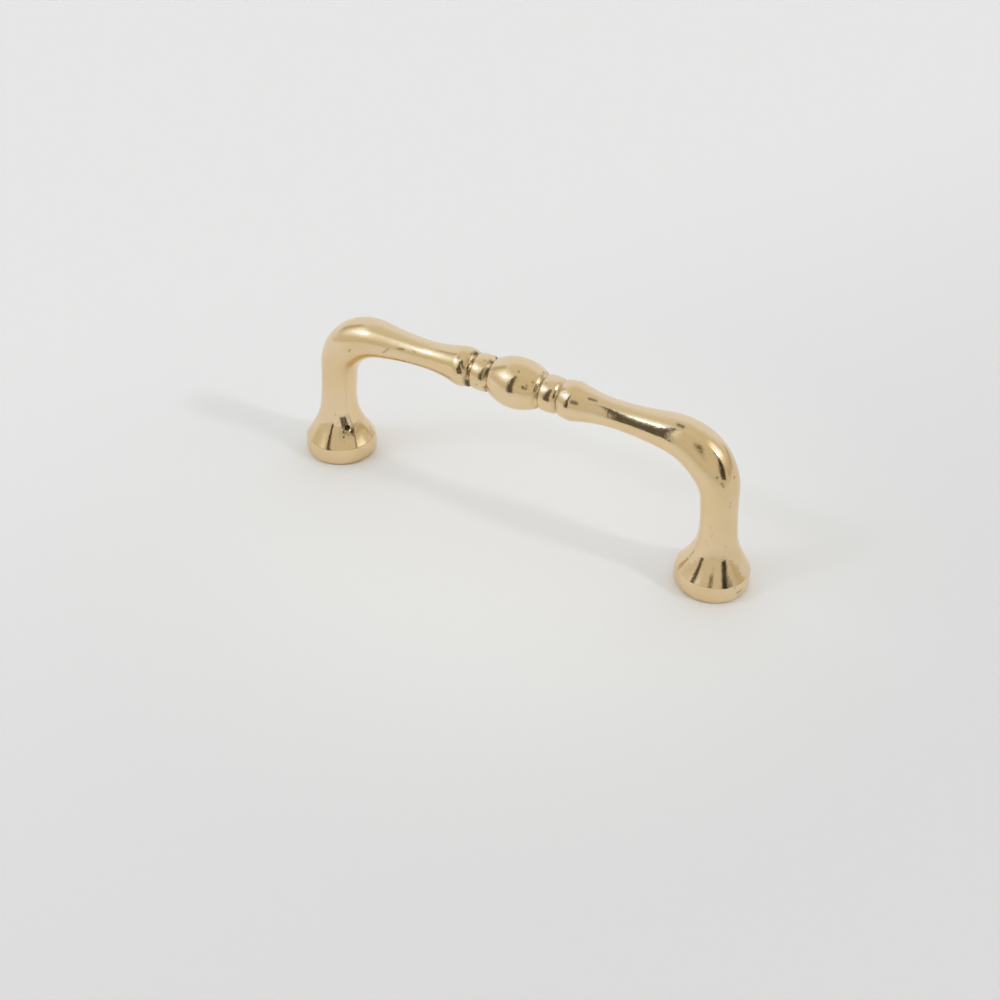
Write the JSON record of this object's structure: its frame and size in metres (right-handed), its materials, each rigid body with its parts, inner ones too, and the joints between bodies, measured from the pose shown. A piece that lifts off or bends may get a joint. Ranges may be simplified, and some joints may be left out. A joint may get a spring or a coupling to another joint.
{
  "type": "cabinet handle",
  "caption": "Bow-shaped cast brass cabinet pull with flared round feet, swelling elbows and a turned spool in the middle of the bar, screwed on from behind.",
  "frame": {"origin": "midway between the two screw holes, on the mounting plane under the feet", "axes": "+X along the bar, +Y across it, +Z out from the drawer or door front"},
  "size_m": [0.0892, 0.013, 0.031],
  "materials": {
    "brass": "polished cast brass with fine pits and a few casting flaws"
  },
  "bodies": {
    "root": {"handle": "brass"}
  },
  "joints": []
}
